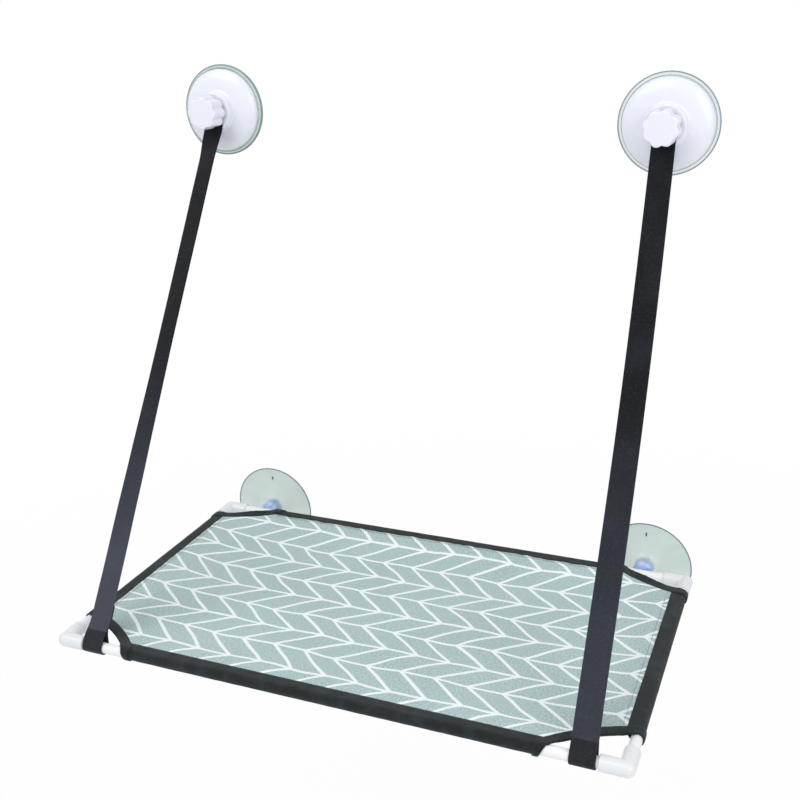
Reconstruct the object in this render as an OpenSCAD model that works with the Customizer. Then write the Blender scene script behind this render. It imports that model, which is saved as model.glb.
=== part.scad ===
/* [Frame] */
// Width between the axes of the two side tubes
frame_w = 585; // [480:5:760]
// Depth between the axes of the rear and the front tube
frame_d = 335; // [260:5:420]
// Outside diameter of every tube
tube_od = 11; // [10:0.5:13]
// Wall of every tube
tube_wall = 1.5; // [1:0.1:2]
// Distance from the window pane to the axis of the rear tube
stand_off = 24; // [22:0.5:32]
// Wall of the elbow round a tube
elbow_wall = 2; // [1.5:0.1:3]
// Distance from the corner of the tube axes to the mouth of an elbow
elbow_reach = 24; // [20:0.5:26]
// Plastic between the two tube ends inside an elbow
elbow_core = 2.5; // [1.5:0.1:4]
// Chamfer round the mouth of an elbow
mouth_chamfer = 0.7; // [0.2:0.1:1]

/* [Bed fabric] */
// Thickness of the printed panel
panel_t = 1.2; // [0.8:0.1:1.6]
// How far the panel's top lies below the top of the tubes
panel_drop = 0.1; // [0:0.1:0.6]
// How far the panel hangs below its edges where it sags most
sag = 11.5; // [0:0.5:20]
// Thickness of the sleeve cloth round a tube
sleeve_t = 0.7; // [0.5:0.1:1]
// Gap between a tube and its sleeve
sleeve_slack = 0.2; // [0.1:0.05:0.4]
// Distance from a tube axis to the seam where sleeve and panel meet
seam_in = 10; // [9:0.5:14]
// How far the sleeve's lower layer goes on under the panel
seam_allowance = 6; // [4:0.5:10]
// Reach of a front corner cut along the front tube
front_cut_w = 68; // [60:1:80]
// Reach of a front corner cut along the side tube
front_cut_d = 40; // [34:1:50]
// Reach of a rear corner cut along the rear tube
rear_cut_w = 65; // [62:1:80]
// Reach of a rear corner cut along the side tube
rear_cut_d = 28; // [26:1:40]
// Width of the binding round a corner cut
binding_w = 12; // [8:0.5:16]
// Thickness of the binding tape above and below the panel
tape_t = 0.6; // [0.4:0.1:1]
// How far the panel's edge stops short of the binding's fold
fold_gap = 2; // [1:0.5:4]

/* [Straps] */
// Width of the webbing
strap_w = 25; // [20:1:28]
// Thickness of the webbing
strap_t = 1.6; // [1:0.1:2]
// Distance from a side tube's axis to the middle of a strap's foot
strap_inset = 39.5; // [38:0.5:44]
// Gap between the front tube and the webbing round it
strap_play = 0.2; // [0.1:0.05:0.4]
// Distance from the front tube's axis to the top of the loop
loop_reach = 17; // [15:0.5:24]
// Length of the tail sewn to the strap above the loop
tail_l = 25; // [15:1:40]
// How far the top of the left strap leans to the left
lean_left = 16; // [0:0.5:30]
// How far the top of the right strap leans to the left
lean_right = 11.7; // [0:0.1:30]
// Webbing above the stud
tab_above = 11; // [9:0.5:16]
// Distance from the stud down to the bend of the strap
tab_below = 18; // [15:0.5:20]

/* [Suction cups] */
// Diameter of a lower cup
cup_d = 106; // [100:1:110]
// Diameter of an upper disc
disc_d = 102; // [98:1:110]
// Width of the ring with which a cup or a disc touches the pane
contact_w = 9; // [5:0.5:14]
// Distance from a side tube's axis to a lower cup's axis
lower_inset = 49.5; // [44:0.5:56]
// How much further in the left lower cup sits
lower_left_in = 3; // [0:0.5:8]
// Thickness of a lower cup at its edge
lower_edge_t = 1.6; // [1:0.1:2.5]
// Depth of the hollow under a lower cup
lower_hollow = 3.5; // [2:0.1:5]
// Diameter of a lower cup's hub
hub_d = 16; // [15:0.1:20]
// Diameter of a lower cup's neck
neck_d = 6; // [5:0.1:7]
// Diameter of the head that holds a lower cup in the tube
head_d = 8.2; // [8:0.1:11]
// Height of that head
head_t = 3.7; // [2.5:0.1:4.5]
// Height of the left upper cup above the rear tube
rise_left = 505; // [380:1:560]
// Height of the right upper cup above the rear tube
rise_right = 495; // [380:1:560]
// Thickness of an upper disc's lip
lip_t = 3.4; // [2.8:0.1:5]
// Width of the lip outside the cover
lip_w = 4.6; // [3:0.1:7]
// Thickness of an upper disc under the cover's edge
seat_t = 2.5; // [2:0.1:2.7]
// Depth of the hollow under an upper disc
upper_hollow = 1.2; // [0.5:0.1:1.5]

/* [Covers and knobs] */
// Gap between the cover and the disc's lip
cover_gap = 0.4; // [0.1:0.1:1]
// Height of the cover's straight edge
cover_edge_h = 2.5; // [1.5:0.1:4]
// Height of the cover's dome above that edge
dome_h = 10; // [7:0.5:13]
// Wall of the cover
cover_wall = 2.2; // [1.5:0.1:3]
// Diameter of the cover's boss
boss_d = 42; // [36:0.5:48]
// Distance from the pane to the front of the boss
boss_front = 26; // [24:0.5:32]
// Radius of the fillet between dome and boss
boss_fillet = 3; // [1.5:0.5:5]
// Rounding of the boss's front edge
boss_round = 1.5; // [0.5:0.1:2]
// Diameter of the stud
stud_d = 8; // [6:0.5:9]
// Diameter of the flange at the stud's foot
flange_d = 18; // [14:0.5:20]
// Thickness of that flange
flange_t = 2.5; // [1.5:0.1:3]
// Diameter of the thrust washer
washer_d = 22; // [18:0.5:26]
// Thickness of the thrust washer
washer_t = 1; // [0.8:0.1:2]
// Diameter of a knob
knob_d = 38; // [30:0.5:39]
// Height of a knob
knob_h = 22.5; // [21:0.5:30]
// Number of finger grooves round a knob
groove_count = 8; // [5:1:12]
// Depth of a finger groove
groove_depth = 1.8; // [0.4:0.1:2]
// Radius of a finger groove
groove_r = 7; // [5:0.5:12]
// Rounding of a knob's front edge
knob_round = 1.6; // [0.5:0.1:2.5]
// Diameter of the insert in a knob
insert_d = 14; // [12:0.5:18]
// Length of the insert
insert_l = 15; // [10:0.5:17]

/* [Hidden] */

white = [0.93, 0.94, 0.94];
black = [0.13, 0.14, 0.16];
sage = [0.68, 0.76, 0.75];
clear_grey = [0.74, 0.81, 0.79];
steel = [0.72, 0.73, 0.75];
brass = [0.78, 0.64, 0.36];
webbing = [0.15, 0.16, 0.2];

$fn = 64;
// Overrun of every cut past the face that it opens
cut = 1;
// Radial gap of a tube in its socket, a stem in its hole and a stud in its insert
running_gap = 0.05;
// Gap between flat faces of pieces that turn on each other
face_gap = 0.3;
// Gap round a moulded-in insert
mould_gap = 0.02;
// Steps in a curved outline
curve_steps = 12;
// Steps in a small rounding
round_steps = 5;
// Roundness of a corner cut's outline: 1 is straight and 2 an ellipse
front_cut_share = 1.3;
rear_cut_share = 1.35;
// How much sooner a lower cup's flare rises than a straight cone
flare_share = 3.5;
// How much wider the binding is along the cross tube than along the side tube
binding_lead = 2;
// Where the sagging cloth has its points: across it, from -1 to 1, and from its rear to its front
sag_column_shares = [-1, -0.87, -0.73, -0.4, 0, 0.4, 0.73, 0.87, 1];
sag_row_shares = [0, 0.06, 0.13, 0.22, 0.4, 0.6, 0.8, 1];
// How steeply the sag falls off to the sides, from the rear and to the front
sag_side_power = 5;
sag_rear_share = 0.09;
sag_rear_power = 1.5;
sag_front_power = 2.4;
// How much further than its binding a corner cut keeps the cloth from sagging
sag_corner_share = 1.12;

tube_r = tube_od / 2;
tube_in_r = tube_r - tube_wall;
socket_r = tube_r + running_gap;
elbow_r = socket_r + elbow_wall;
tube_setback = tube_r + elbow_core;
rear_y = -stand_off;
front_y = rear_y - frame_d;
side_x = frame_w / 2;

sleeve_in_r = tube_r + sleeve_slack;
sleeve_r = sleeve_in_r + sleeve_t;
panel_top = tube_r - panel_drop;
panel_low = panel_top - panel_t;
// Distance from a tube axis to the end of a binding
binding_start = sleeve_r + face_gap;
// Distance from a tube axis to the start of the sag
sag_in = seam_in + seam_allowance + fold_gap;
sag_half_w = side_x - sag_in;

strap_in_r = tube_r + strap_play;
strap_out_r = strap_in_r + strap_t;
foot_x = side_x - strap_inset;
left_top_x = -foot_x - lean_left;
right_top_x = foot_x - lean_right;

cup_r = cup_d / 2;
disc_r = disc_d / 2;
hub_r = hub_d / 2;
hub_top = stand_off - tube_r - face_gap;
neck_r = neck_d / 2;
head_r = head_d / 2;
head_low = stand_off + tube_r + face_gap;
function lower_x(side) = side * (side_x - lower_inset) + (side < 0 ? lower_left_in : 0);
// Small raised mark on a lower cup: width, length and height, and its distance from the axis
pip_w = 2;
pip_l = 5;
pip_h = 0.8;
pip_r = 40;

// Rounding of the lip of an upper disc
lip_round = 0.6;
cover_r = disc_r - lip_w - cover_gap;
dome_low = seat_t + cover_edge_h;
dome_top = dome_low + dome_h;
boss_r = boss_d / 2;
dome_in_r = boss_r + boss_fillet;
bore_gap = 0.2;
stud_r = stud_d / 2;
flange_r = flange_d / 2;
// Plastic of the disc under, round and over the stud's flange
flange_cover = 2.5;
flange_low = upper_hollow + flange_cover;
disc_hub_r = flange_r + flange_cover;
disc_hub_top = flange_low + flange_t + flange_cover;
post_wall = 2.8;
tab_near = boss_front + face_gap;
tab_far = tab_near + strap_t;
tab_round = 2;
washer_near = tab_far + face_gap;
knob_near = washer_near + washer_t + face_gap;
knob_r = knob_d / 2;
knob_roof = 2.5;
stud_tip_gap = 2;
tip_bore_gap = 0.5;
insert_r = insert_d / 2;
stud_top = knob_near + knob_h - knob_roof - stud_tip_gap;

// Points of a rounded quarter between two sizes, as [along, across], from the far end inward
function quarter(a, b, share, steps) =
    [for (i = [0:steps]) let (t = 90 * i / steps)
        [a * pow(cos(t), 2 / share), b * pow(sin(t), 2 / share)]];

// Outline of a corner cut, in distances from the corner of the tube axes
function corner_cut(a, b, share) =
    concat([[-elbow_reach, -elbow_reach], [a, -elbow_reach]], quarter(a, b, share, curve_steps),
        [[-elbow_reach, b]]);

function front_cut(grow) =
    corner_cut(front_cut_w + grow + lead(grow), front_cut_d + grow, front_cut_share);
function rear_cut(grow) =
    corner_cut(rear_cut_w + grow + lead(grow), rear_cut_d + grow, rear_cut_share);
function lead(grow) = grow < binding_w ? 0 : binding_lead;

// Puts a corner's own plan at one of the four corners of the frame
module at_corner(side, front) {
    translate([side * side_x, front ? front_y : rear_y])
        mirror([side > 0 ? 1 : 0, 0]) mirror([0, front ? 0 : 1]) children();
}

module one_cut(side, front, grow) {
    at_corner(side, front) polygon(front ? front_cut(grow) : rear_cut(grow));
}

module all_cuts(grow) {
    for (side = [-1, 1], front = [false, true]) one_cut(side, front, grow);
}

// A plate between two heights
module plate(low, high) {
    translate([0, 0, low]) linear_extrude(high - low) children();
}

// Turns a piece that stands along Z so that it points from the pane into the room
module on_pane(x, z) {
    translate([x, 0, z]) rotate([90, 0, 0]) children();
}

// Extrudes a side view, drawn as depth and height, across the frame
module across(w) {
    rotate([90, 0, 90]) linear_extrude(w, center = true) children();
}

module tube(l) {
    difference() {
        cylinder(r = tube_r, h = l, center = true);
        cylinder(r = tube_in_r, h = l + cut, center = true);
    }
}

module rear_rail() {
    color(white) difference() {
        translate([0, rear_y, 0]) rotate([0, 90, 0]) tube(frame_w - 2 * tube_setback);
        for (side = [-1, 1]) translate([lower_x(side), rear_y, 0]) rotate([90, 0, 0])
            cylinder(r = neck_r + running_gap, h = tube_od + 2 * cut, center = true);
    }
}

module front_rail() {
    color(white) translate([0, front_y, 0]) rotate([0, 90, 0])
        tube(frame_w - 2 * tube_setback);
}

module side_rail(side) {
    color(white) translate([side * side_x, (rear_y + front_y) / 2, 0]) rotate([90, 0, 0])
        tube(frame_d - 2 * tube_setback);
}

module elbow_arm() {
    cylinder(r = elbow_r, h = elbow_reach - mouth_chamfer);
    translate([0, 0, elbow_reach - mouth_chamfer])
        cylinder(r1 = elbow_r, r2 = elbow_r - mouth_chamfer, h = mouth_chamfer);
}

module elbow_bore() {
    translate([0, 0, tube_setback - running_gap])
        cylinder(r = socket_r, h = elbow_reach - tube_setback + running_gap + cut);
}

// An elbow at the origin, with its sockets along +X and +Y
module corner_elbow() {
    difference() {
        union() {
            sphere(r = elbow_r);
            rotate([0, 90, 0]) elbow_arm();
            rotate([-90, 0, 0]) elbow_arm();
        }
        rotate([0, 90, 0]) elbow_bore();
        rotate([-90, 0, 0]) elbow_bore();
    }
}

module elbow(side, front) {
    color(white) at_corner(side, front) corner_elbow();
}

module panel_solid() {
    plate(panel_low, panel_top) difference() {
        translate([-side_x + seam_in, front_y + seam_in])
            square([frame_w - 2 * seam_in, frame_d - 2 * seam_in]);
        all_cuts(fold_gap);
    }
}

// Depth from a cross tube to the start of the sag at x, beside corner cuts of reach w and d
function sag_start(x, w, d) =
    let (from_side = side_x - abs(x), corner_w = w * sag_corner_share,
        corner_d = d * sag_corner_share)
    sag_in + (corner_d - sag_in) * max(0, (corner_w - from_side) / (corner_w - sag_in));
function sag_rear_y(x) =
    rear_y - sag_start(x, rear_cut_w + binding_w + binding_lead, rear_cut_d + binding_w);
function sag_front_y(x) =
    front_y + sag_start(x, front_cut_w + binding_w + binding_lead, front_cut_d + binding_w);

// Share of the full sag at a share across the cloth and a share from its rear to its front
function sag_share(across, along) =
    (1 - pow(abs(across), sag_side_power)) * (1 - exp(-pow(along / sag_rear_share, sag_rear_power)))
    * (1 - pow(along, sag_front_power));

sag_columns = len(sag_column_shares);
sag_rows = len(sag_row_shares);
function sag_point(i, j, height) =
    let (x = sag_half_w * sag_column_shares[i], rear = sag_rear_y(x), along = sag_row_shares[j])
    [x, rear + (sag_front_y(x) - rear) * along,
        height - sag * sag_share(sag_column_shares[i], along)];
function sag_points(height) =
    [for (i = [0 : sag_columns - 1], j = [0 : sag_rows - 1]) sag_point(i, j, height)];

// The numbers of the points round the sagging cloth's edge, seen from above
sag_rim = concat([for (i = [0 : sag_columns - 1]) i * sag_rows],
    [for (j = [1 : sag_rows - 1]) (sag_columns - 1) * sag_rows + j],
    [for (i = [sag_columns - 2 : -1 : 0]) i * sag_rows + sag_rows - 1],
    [for (j = [sag_rows - 2 : -1 : 1]) j]);

module sagging_cloth() {
    under = sag_columns * sag_rows;
    top_faces = [for (i = [0 : sag_columns - 2], j = [0 : sag_rows - 2])
        let (a = i * sag_rows + j, b = a + sag_rows)
        each [[a, b, b + 1], [a, b + 1, a + 1]]];
    low_faces = [for (face = top_faces) [face[2], face[1], face[0]] + [1, 1, 1] * under];
    rim_faces = [for (i = [0 : len(sag_rim) - 1])
        let (a = sag_rim[i], b = sag_rim[(i + 1) % len(sag_rim)])
        [b, a, a + under, b + under]];
    polyhedron(concat(sag_points(panel_top), sag_points(panel_low)),
        concat(top_faces, low_faces, rim_faces));
}

module panel() {
    rim = sag_points(panel_top);
    color(sage) union() {
        difference() {
            panel_solid();
            plate(panel_low - cut, panel_top + cut)
                polygon([for (i = sag_rim) [rim[i][0], rim[i][1]]]);
        }
        sagging_cloth();
    }
}

// A sleeve along +X from one end to the other, with its seam at +Y
module sleeve_round(low_end, high_end) {
    l = high_end - low_end;
    translate([low_end, 0, 0]) difference() {
        union() {
            rotate([0, 90, 0]) cylinder(r = sleeve_r, h = l);
            plate(panel_low, panel_top) square([l, seam_in]);
            plate(panel_low - panel_t, panel_low) square([l, seam_in + seam_allowance]);
        }
        translate([-cut, 0, 0]) rotate([0, 90, 0]) cylinder(r = sleeve_in_r, h = l + 2 * cut);
    }
}

// What the corner cuts take off the flat layers of the sleeves, clear of the tubes' sleeves
module cut_off_corners() {
    plate(panel_low - panel_t - cut, panel_top + cut) intersection() {
        all_cuts(binding_w);
        difference() {
            translate([-side_x, front_y]) square([frame_w, frame_d]);
            for (y = [front_y, rear_y]) translate([-side_x, y - binding_start])
                square([frame_w, 2 * binding_start]);
            for (side = [-1, 1]) translate([side * side_x - binding_start, front_y])
                square([2 * binding_start, frame_d]);
        }
    }
}

module sleeve_front() {
    color(black) difference() {
        translate([0, front_y, 0])
            sleeve_round(front_cut_w - side_x, side_x - front_cut_w);
        cut_off_corners();
    }
}

module sleeve_rear() {
    color(black) difference() {
        translate([0, rear_y, 0]) mirror([0, 1, 0])
            sleeve_round(rear_cut_w - side_x, side_x - rear_cut_w);
        cut_off_corners();
    }
}

module sleeve_side(side) {
    color(black) difference() {
        translate([side * side_x, 0, 0]) mirror([side > 0 ? 1 : 0, 0, 0]) rotate([0, 0, 90])
            mirror([0, 1, 0]) sleeve_round(front_y + front_cut_d, rear_y - rear_cut_d);
        cut_off_corners();
    }
}

module binding(side, front) {
    color(black) difference() {
        plate(panel_low - tape_t, panel_top + tape_t) difference() {
            one_cut(side, front, binding_w);
            one_cut(side, front, 0);
            at_corner(side, front) {
                translate([-side_x, -side_x]) square([frame_w, side_x + binding_start]);
                translate([-side_x, -side_x]) square([side_x + binding_start, frame_w]);
            }
        }
        panel_solid();
    }
}

// Points on an arc round the origin, in equal steps
function arc(r, from, to) =
    [for (i = [0:curve_steps]) let (t = from + (to - from) * i / curve_steps)
        [r * cos(t), r * sin(t)]];
function turned(p, angle) =
    [p[0] * cos(angle) - p[1] * sin(angle), p[0] * sin(angle) + p[1] * cos(angle)];

// Outline of a strap seen from the side. Points of the foot are given along the run, x from the
// front tube's axis and y above it, and the run's angle turns them into depth and height.
module strap_side_view(rise) {
    bend = [-tab_near - front_y, rise - tab_below];
    angle = atan2(bend[1], bend[0]) - asin(strap_in_r / norm(bend));
    outer_bend = [bend[0] - strap_t, (bend[0] - strap_t) * tan(angle) + strap_out_r / cos(angle)];
    tab_end = rise + tab_above + cut;
    lean = atan2(strap_in_r, loop_reach) - acos(strap_in_r / norm([loop_reach, strap_in_r]));
    half_step = (270 + lean) / curve_steps / 2;
    tail_low = strap_in_r - strap_t;
    tail_end = loop_reach + tail_l;
    leg_l = (tail_low - strap_out_r * sin(lean)) / cos(lean);
    leg_end = [strap_out_r * cos(lean) - leg_l * sin(lean), tail_low];
    foot = concat([[tail_end, strap_in_r], [tail_end, tail_low], leg_end],
        arc(strap_out_r, lean, -270));
    eye = concat([[loop_reach, strap_in_r]], arc(strap_in_r / cos(half_step), lean, -270));
    translate([front_y, 0]) difference() {
        polygon(concat([for (p = foot) turned(p, angle)],
            [outer_bend, [outer_bend[0], tab_end], [bend[0], tab_end], bend]));
        polygon([for (p = eye) turned(p, angle)]);
    }
}

// The same strap seen from the front: an upright foot, a leaning run and an upright tab
module strap_front_view(foot, top, rise) {
    half = strap_w / 2;
    tab_end = rise + tab_above;
    polygon([[foot - half, -strap_w], [foot + half, -strap_w], [foot + half, 0],
        [top + half, rise - tab_below], [top + half, tab_end - tab_round],
        [top + half - tab_round, tab_end], [top - half + tab_round, tab_end],
        [top - half, tab_end - tab_round], [top - half, rise - tab_below], [foot - half, 0]]);
}

module strap(foot, top, rise) {
    color(webbing) difference() {
        intersection() {
            across(2 * frame_w) strap_side_view(rise);
            rotate([90, 0, 0]) linear_extrude(2 * strap_out_r - front_y)
                strap_front_view(foot, top, rise);
        }
        on_pane(top, rise) translate([0, 0, tab_near - cut])
            cylinder(r = stud_r + face_gap, h = strap_t + 2 * cut);
    }
}

// Radius and height of points on the hollow under a cup of radius r, from the axis outward
function hollow_points(r, depth) =
    [for (i = [0:round_steps]) let (share = i / round_steps)
        [(r - contact_w) * share, depth * (1 - share * share)]];

function flare_points() =
    [for (i = [0:curve_steps]) let (share = i / curve_steps)
        [cup_r - (cup_r - hub_r) * share,
            lower_edge_t + (hub_top - lower_edge_t) * pow(share, flare_share)]];

module lower_cup(side) {
    head_top = head_low + head_t;
    color(clear_grey) on_pane(lower_x(side), 0) {
        rotate_extrude() polygon(concat(hollow_points(cup_r, lower_hollow), [[cup_r, 0]],
            flare_points(), [[neck_r, hub_top], [neck_r, head_low], [head_r, head_low]],
            [for (i = [0:round_steps]) let (t = 90 * i / round_steps)
                [head_r * cos(t), head_top - head_t / 2 * (1 - sin(t))]]));
        translate([-pip_w / 2, pip_r - pip_l / 2, lower_edge_t])
            cube([pip_w, pip_l, flare_height(pip_r) - lower_edge_t + pip_h]);
    }
}
function flare_height(r) = lower_edge_t
    + (hub_top - lower_edge_t) * pow((cup_r - r) / (cup_r - hub_r), flare_share);

module upper_disc(x, rise) {
    lip_in_r = disc_r - lip_w;
    color(clear_grey) on_pane(x, rise) difference() {
        rotate_extrude() polygon(concat(hollow_points(disc_r, upper_hollow),
            [[disc_r, 0], [disc_r, lip_t - lip_round], [disc_r - lip_round, lip_t],
            [lip_in_r + lip_round, lip_t], [lip_in_r, lip_t - lip_round], [lip_in_r, seat_t],
            [disc_hub_r, seat_t], [disc_hub_r, disc_hub_top], [0, disc_hub_top]]));
        translate([0, 0, flange_low - mould_gap])
            cylinder(r = flange_r + mould_gap, h = flange_t + 2 * mould_gap);
        translate([0, 0, flange_low])
            cylinder(r = stud_r + mould_gap, h = disc_hub_top - flange_low + cut);
    }
}

module cup_cover(x, rise) {
    bore_r = stud_r + bore_gap;
    post_r = bore_r + post_wall;
    post_low = disc_hub_top + face_gap;
    roof = boss_front - cover_wall;
    outer = concat([[cover_r, seat_t]],
        [for (i = [0:curve_steps]) let (t = 90 * i / curve_steps)
            [dome_in_r + (cover_r - dome_in_r) * cos(t), dome_low + dome_h * sin(t)]],
        [for (i = [1:round_steps]) let (t = 90 * i / round_steps)
            [dome_in_r - boss_fillet * sin(t), dome_top + boss_fillet * (1 - cos(t))]],
        [for (i = [0:round_steps]) let (t = 90 * i / round_steps)
            [boss_r - boss_round * (1 - cos(t)), boss_front - boss_round * (1 - sin(t))]]);
    inner = concat([[bore_r, boss_front], [bore_r, post_low], [post_r, post_low],
        [post_r, roof], [boss_r - cover_wall, roof], [boss_r - cover_wall, dome_top - cover_wall]],
        [for (i = [curve_steps:-1:0]) let (t = 90 * i / curve_steps)
            [dome_in_r + (cover_r - cover_wall - dome_in_r) * cos(t),
                dome_low - cover_wall + dome_h * sin(t)]],
        [[cover_r - cover_wall, seat_t]]);
    color(white) on_pane(x, rise) rotate_extrude() polygon(concat(outer, inner));
}

module stud(x, rise) {
    color(steel) on_pane(x, rise) {
        translate([0, 0, flange_low]) cylinder(r = flange_r, h = flange_t);
        translate([0, 0, flange_low]) cylinder(r = stud_r, h = stud_top - flange_low);
    }
}

module washer(x, rise) {
    color(steel) on_pane(x, rise) translate([0, 0, washer_near]) difference() {
        cylinder(r = washer_d / 2, h = washer_t);
        translate([0, 0, -cut]) cylinder(r = stud_r + face_gap, h = washer_t + 2 * cut);
    }
}

module knob(x, rise) {
    color(white) on_pane(x, rise) translate([0, 0, knob_near]) difference() {
        intersection() {
            linear_extrude(knob_h) difference() {
                circle(r = knob_r);
                for (i = [0:groove_count - 1]) rotate(360 * i / groove_count)
                    translate([knob_r + groove_r - groove_depth, 0]) circle(r = groove_r);
            }
            rotate_extrude() polygon(concat([[0, 0], [knob_r, 0]],
                [for (i = [0:round_steps]) let (t = 90 * i / round_steps)
                    [knob_r - knob_round * (1 - cos(t)), knob_h - knob_round * (1 - sin(t))]],
                [[0, knob_h]]));
        }
        translate([0, 0, -cut]) cylinder(r = insert_r + mould_gap, h = insert_l + cut);
        cylinder(r = stud_r + tip_bore_gap, h = knob_h - knob_roof);
    }
}

module knob_insert(x, rise) {
    color(brass) on_pane(x, rise) translate([0, 0, knob_near]) difference() {
        cylinder(r = insert_r, h = insert_l);
        translate([0, 0, -cut]) cylinder(r = stud_r + running_gap, h = insert_l + 2 * cut);
    }
}

rear_rail();
front_rail();
side_rail(-1);  // left_rail
side_rail(1);  // right_rail
elbow(-1, false);  // elbow_rear_left
elbow(1, false);  // elbow_rear_right
elbow(-1, true);  // elbow_front_left
elbow(1, true);  // elbow_front_right
panel();
sleeve_rear();
sleeve_front();
sleeve_side(-1);  // sleeve_left
sleeve_side(1);  // sleeve_right
binding(-1, false);  // binding_rear_left
binding(1, false);  // binding_rear_right
binding(-1, true);  // binding_front_left
binding(1, true);  // binding_front_right
strap(-foot_x, left_top_x, rise_left);  // strap_left
strap(foot_x, right_top_x, rise_right);  // strap_right
lower_cup(-1);  // lower_cup_left
lower_cup(1);  // lower_cup_right
upper_disc(left_top_x, rise_left);  // upper_disc_left
upper_disc(right_top_x, rise_right);  // upper_disc_right
cup_cover(left_top_x, rise_left);  // cup_cover_left
cup_cover(right_top_x, rise_right);  // cup_cover_right
stud(left_top_x, rise_left);  // stud_left
stud(right_top_x, rise_right);  // stud_right
washer(left_top_x, rise_left);  // washer_left
washer(right_top_x, rise_right);  // washer_right
knob(left_top_x, rise_left);  // knob_left
knob(right_top_x, rise_right);  // knob_right
knob_insert(left_top_x, rise_left);  // knob_insert_left
knob_insert(right_top_x, rise_right);  // knob_insert_right
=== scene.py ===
from math import acos, asin, atan2, cos, degrees, dist, exp, hypot, pi, radians, sin, sqrt
from collections import namedtuple

import bpy
from mathutils import Matrix, Vector, noise


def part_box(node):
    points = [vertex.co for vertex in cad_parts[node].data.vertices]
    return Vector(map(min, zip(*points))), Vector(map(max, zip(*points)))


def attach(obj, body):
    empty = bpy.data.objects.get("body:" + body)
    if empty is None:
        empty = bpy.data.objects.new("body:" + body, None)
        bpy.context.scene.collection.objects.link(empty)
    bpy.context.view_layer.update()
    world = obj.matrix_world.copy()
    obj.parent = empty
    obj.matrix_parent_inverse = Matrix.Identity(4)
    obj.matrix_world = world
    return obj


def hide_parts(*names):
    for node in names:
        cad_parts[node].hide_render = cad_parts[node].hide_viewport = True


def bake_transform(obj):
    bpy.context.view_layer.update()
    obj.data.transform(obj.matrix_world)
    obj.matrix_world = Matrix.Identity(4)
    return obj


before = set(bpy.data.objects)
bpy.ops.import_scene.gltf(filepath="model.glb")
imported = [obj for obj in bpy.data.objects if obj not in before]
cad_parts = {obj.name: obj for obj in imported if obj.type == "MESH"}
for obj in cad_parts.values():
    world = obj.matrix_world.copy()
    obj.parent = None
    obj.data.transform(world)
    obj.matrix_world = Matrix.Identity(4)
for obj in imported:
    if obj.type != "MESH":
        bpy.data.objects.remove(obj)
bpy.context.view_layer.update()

MM = 0.001
UP = Vector((0, 0, 1))
SIDES = ((-1, "left"), (1, "right"))


def middle(node):
    """The centre of a CAD node's box."""
    low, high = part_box(node)
    return (low + high) / 2


def clamp(share):
    """Keeps a share from 0 to 1."""
    return min(max(share, 0.0), 1.0)


def ease(share):
    """A share from 0 to 1 that starts and ends gently."""
    return share * share * (3 - 2 * share)


def between(a, b, share):
    """The point that lies a share of the way from one to another."""
    return tuple(p + (q - p) * share for p, q in zip(a, b))


# The frame's own sizes, from the CAD model
SIDE_X = middle("right_rail").x
REAR_Y = middle("rear_rail").y
FRONT_Y = middle("front_rail").y
TUBE_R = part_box("front_rail")[1].z
PANEL_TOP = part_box("panel")[1].z
PANEL_T = 1.2 * MM
PANEL_LOW = PANEL_TOP - PANEL_T
SAG = PANEL_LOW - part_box("panel")[0].z
SEAM_IN = SIDE_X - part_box("panel")[1].x
FRAME_D = REAR_Y - FRONT_Y

# Corner cuts of the cloth: reach along the cross tube, along the side tube, and roundness
Cut = namedtuple("Cut", "wide deep roundness")
FRONT_CUT = Cut(68 * MM, 40 * MM, 1.3)
REAR_CUT = Cut(65 * MM, 28 * MM, 1.35)
CUTS = (("rear", REAR_CUT), ("front", FRONT_CUT))
BINDING_W = 12 * MM
# How much wider than that a binding is along the cross tube
BINDING_LEAD = 2 * MM
# Where the cloth starts to sag: from the tubes' axes, and past a corner cut's binding
SAG_IN = SEAM_IN + 8 * MM
SAG_CORNER = 1.12

# Webbing sold as 25 mm, which measures a little less
STRAP_W = 23.6 * MM
STRAP_T = 1.6 * MM


# Camera

def make_camera():
    """The photograph's viewpoint, found from the outlines of the frame, straps and cups."""
    yaw, pitch, roll = 0.398, -0.348, -0.028
    place = Vector((0.4104, -1.1130, 0.6063))
    focal_px, frame_px, sensor_mm = 1067.74, 800, 36
    data = bpy.data.cameras.new("camera")
    data.sensor_width = sensor_mm
    data.lens = focal_px / frame_px * sensor_mm
    camera = bpy.data.objects.new("camera", data)
    turn = (Matrix.Rotation(yaw, 4, "Z") @ Matrix.Rotation(pi / 2 + pitch, 4, "X")
            @ Matrix.Rotation(roll, 4, "Z"))
    camera.matrix_world = Matrix.Translation(place) @ turn
    bpy.context.scene.collection.objects.link(camera)
    bpy.context.scene.camera = camera


make_camera()


# Shader tools

def paint(red, green, blue):
    """A colour given as it shows on a screen, from 0 to 255, as the linear one that nodes take."""
    def linear(c):
        c /= 255
        return c / 12.92 if c <= 0.04045 else ((c + 0.055) / 1.055) ** 2.4
    return (linear(red), linear(green), linear(blue), 1)


def maths(operation, *last):
    """A method of Value that makes one Math node of the value and what the call gives."""
    return lambda value, *others: value.math(operation, value, *others, *last)


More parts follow.
